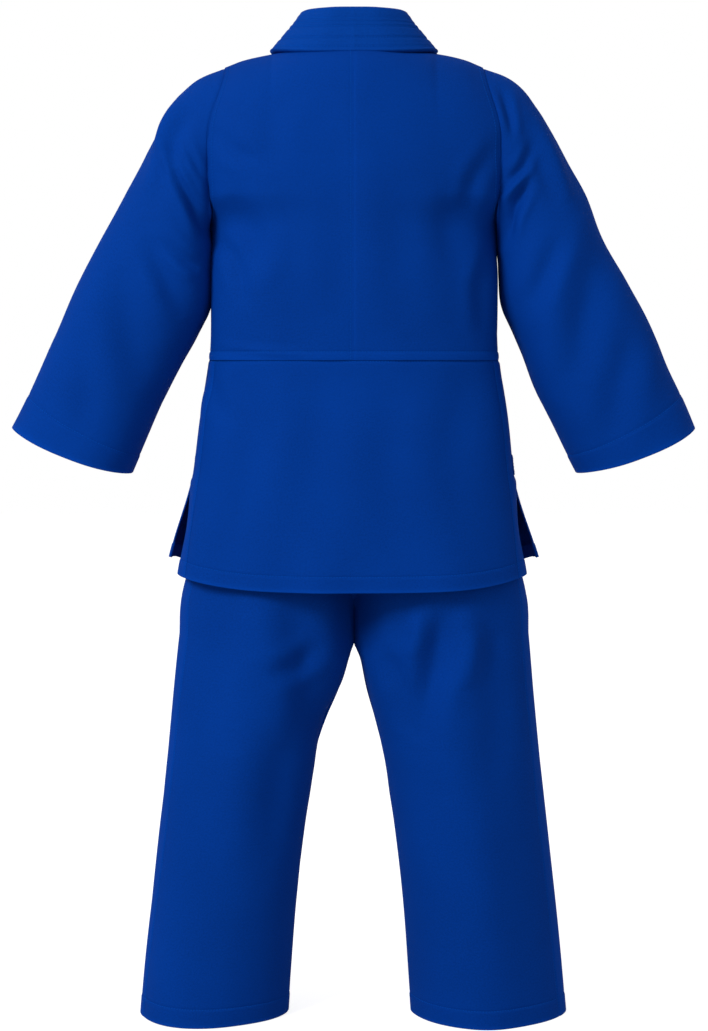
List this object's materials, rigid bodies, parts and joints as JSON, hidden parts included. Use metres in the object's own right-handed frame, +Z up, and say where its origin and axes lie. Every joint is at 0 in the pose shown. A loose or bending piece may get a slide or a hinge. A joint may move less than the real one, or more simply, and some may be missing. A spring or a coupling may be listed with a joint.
{
  "type": "martial arts uniform",
  "caption": "Two-piece cotton martial arts uniform with a wrap-over jacket, a quilted collar band, wide sleeves, side vents and wide trousers.",
  "frame": {"origin": "centre of the uniform's box in plan, on the plane of the trouser hems", "axes": "+Z up, +Y to the wearer's back, +X to the wearer's left"},
  "size_m": [0.884, 0.2495, 1.3043],
  "materials": {
    "cotton_drill": "royal blue cotton drill, matt, with tone-on-tone stitching",
    "cotton_facing": "royal blue cotton, single layer, matt",
    "quilted_band": "royal blue cotton drill, quilted in parallel rows",
    "band_core": "undyed cotton webbing",
    "elastic_web": "white woven elastic"
  },
  "bodies": {
    "trousers": {"trousers_back_left": "cotton_drill", "trousers_back_right": "cotton_drill", "trousers_front_left": "cotton_drill", "trousers_front_right": "cotton_drill", "trousers_waistband": "cotton_drill", "waist_elastic": "elastic_web", "crotch_gusset": "cotton_facing"},
    "jacket": {"back_panel_left": "cotton_drill", "back_panel_right": "cotton_drill", "skirt_back_upper": "cotton_drill", "waist_tape_back": "cotton_facing", "front_right_panel": "cotton_drill", "skirt_front_right": "cotton_drill", "front_left_chest": "cotton_drill", "front_left_side": "cotton_drill", "skirt_front_left_side": "cotton_drill", "collar_neck_band": "quilted_band", "collar_core": "band_core", "lapel_left_upper": "quilted_band", "lapel_right_upper": "quilted_band", "lapel_right_lower": "quilted_band", "underarm_gusset_left": "cotton_facing", "underarm_gusset_right": "cotton_facing", "vent_patch_left": "cotton_drill", "vent_patch_right": "cotton_drill"},
    "sleeve_left": {"sleeve_left": "cotton_drill", "cuff_hem_facing_left": "cotton_facing"},
    "sleeve_right": {"sleeve_right": "cotton_drill", "cuff_hem_facing_right": "cotton_facing"},
    "front_left": {"front_left_wrap": "cotton_drill", "skirt_front_left_wrap": "cotton_drill", "lapel_left_lower": "quilted_band"},
    "back_tail": {"back_tail": "cotton_drill", "back_tail_hem_facing": "cotton_facing"},
    "leg_left": {"leg_left_back": "cotton_drill", "leg_left_front": "cotton_drill", "leg_hem_facing_left": "cotton_facing", "knee_patch_left": "cotton_drill"},
    "leg_right": {"leg_right_back": "cotton_drill", "leg_right_front": "cotton_drill", "leg_hem_facing_right": "cotton_facing", "knee_patch_right": "cotton_drill"}
  },
  "joints": [
    {"name": "jacket_lift", "type": "slide", "parent": "trousers", "child": "jacket", "axis": [0, 0, 1], "range_m": [0, 0.35]},
    {"name": "sleeve_left_raise", "type": "hinge", "parent": "jacket", "child": "sleeve_left", "pos_m": [0.1846, 0.006, 1.2265], "axis": [0, -1, 0], "range_deg": [0, 64]},
    {"name": "sleeve_right_raise", "type": "hinge", "parent": "jacket", "child": "sleeve_right", "pos_m": [-0.1846, 0.006, 1.2265], "axis": [0, 1, 0], "range_deg": [0, 64]},
    {"name": "front_left_open", "type": "hinge", "parent": "jacket", "child": "front_left", "pos_m": [0.222, -0.125, 0.62], "axis": [-0.3404, 0, 0.9403], "range_deg": [0, 75]},
    {"name": "back_tail_lift", "type": "hinge", "parent": "jacket", "child": "back_tail", "pos_m": [0, 0.1195, 0.713], "axis": [1, 0, 0], "range_deg": [0, 60]},
    {"name": "leg_left_spread", "type": "hinge", "parent": "trousers", "child": "leg_left", "pos_m": [0.2285, 0.006, 0.505], "axis": [0, -1, 0], "range_deg": [0, 25]},
    {"name": "leg_right_spread", "type": "hinge", "parent": "trousers", "child": "leg_right", "pos_m": [-0.2285, 0.006, 0.505], "axis": [0, 1, 0], "range_deg": [0, 25]}
  ]
}
